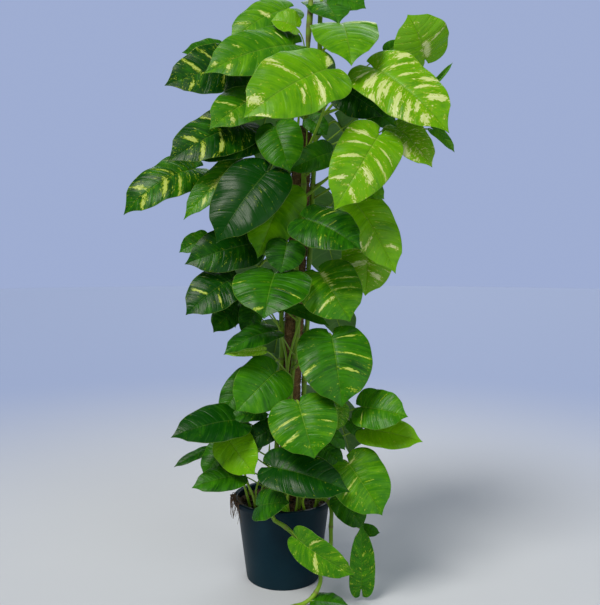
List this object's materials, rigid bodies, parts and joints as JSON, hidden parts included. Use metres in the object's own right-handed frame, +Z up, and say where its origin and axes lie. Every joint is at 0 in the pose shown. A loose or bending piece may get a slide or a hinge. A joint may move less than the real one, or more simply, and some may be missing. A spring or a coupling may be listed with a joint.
{
  "type": "potted pothos plant",
  "caption": "Potted climbing houseplant: heart-shaped variegated leaves on vines tied up a coir pole, rooted in soil in a tapered plastic pot that stands flat.",
  "frame": {"origin": "centre of the pot base's underside, on the surface the pot stands on", "axes": "+Z up along the height of the plant; -Y towards the show side, where the trailing vine comes over the rim; +X to the right seen from there"},
  "size_m": [0.5739, 0.4085, 1.0897],
  "materials": {
    "pot_plastic": "dark navy moulded plastic, matte, slightly dusty",
    "peat": null,
    "coir": "coarse brown coconut fibre wrap",
    "stake_wood": "plain round timber stake",
    "stem_green": null,
    "leaf_green": null
  },
  "bodies": {
    "root": {"pot": "pot_plastic", "soil": "peat", "coir_sleeve": "coir", "pole_stake": "stake_wood", "vine_front": "stem_green", "vine_left": "stem_green", "vine_right": "stem_green", "vine_back": "stem_green", "trail_front": "stem_green", "trail_right": "stem_green", "leaf_01": "leaf_green", "leaf_02": "leaf_green", "leaf_03": "leaf_green", "leaf_04": "leaf_green", "leaf_05": "leaf_green", "leaf_06": "leaf_green", "leaf_07": "leaf_green", "leaf_08": "leaf_green", "leaf_09": "leaf_green", "leaf_10": "leaf_green", "leaf_11": "leaf_green", "leaf_12": "leaf_green", "leaf_13": "leaf_green", "leaf_14": "leaf_green", "leaf_15": "leaf_green", "leaf_16": "leaf_green", "leaf_17": "leaf_green", "leaf_18": "leaf_green", "leaf_19": "leaf_green", "leaf_20": "leaf_green", "leaf_21": "leaf_green", "leaf_22": "leaf_green", "leaf_23": "leaf_green", "leaf_24": "leaf_green", "leaf_25": "leaf_green", "leaf_26": "leaf_green", "leaf_27": "leaf_green", "leaf_28": "leaf_green", "leaf_29": "leaf_green", "leaf_30": "leaf_green", "leaf_31": "leaf_green", "leaf_32": "leaf_green", "leaf_33": "leaf_green", "leaf_34": "leaf_green", "leaf_35": "leaf_green", "leaf_36": "leaf_green", "leaf_37": "leaf_green", "leaf_38": "leaf_green", "leaf_39": "leaf_green", "leaf_40": "leaf_green", "leaf_41": "leaf_green", "leaf_42": "leaf_green", "leaf_43": "leaf_green", "leaf_44": "leaf_green", "leaf_45": "leaf_green", "leaf_46": "leaf_green", "leaf_47": "leaf_green", "leaf_48": "leaf_green", "leaf_49": "leaf_green", "leaf_50": "leaf_green"}
  },
  "joints": []
}
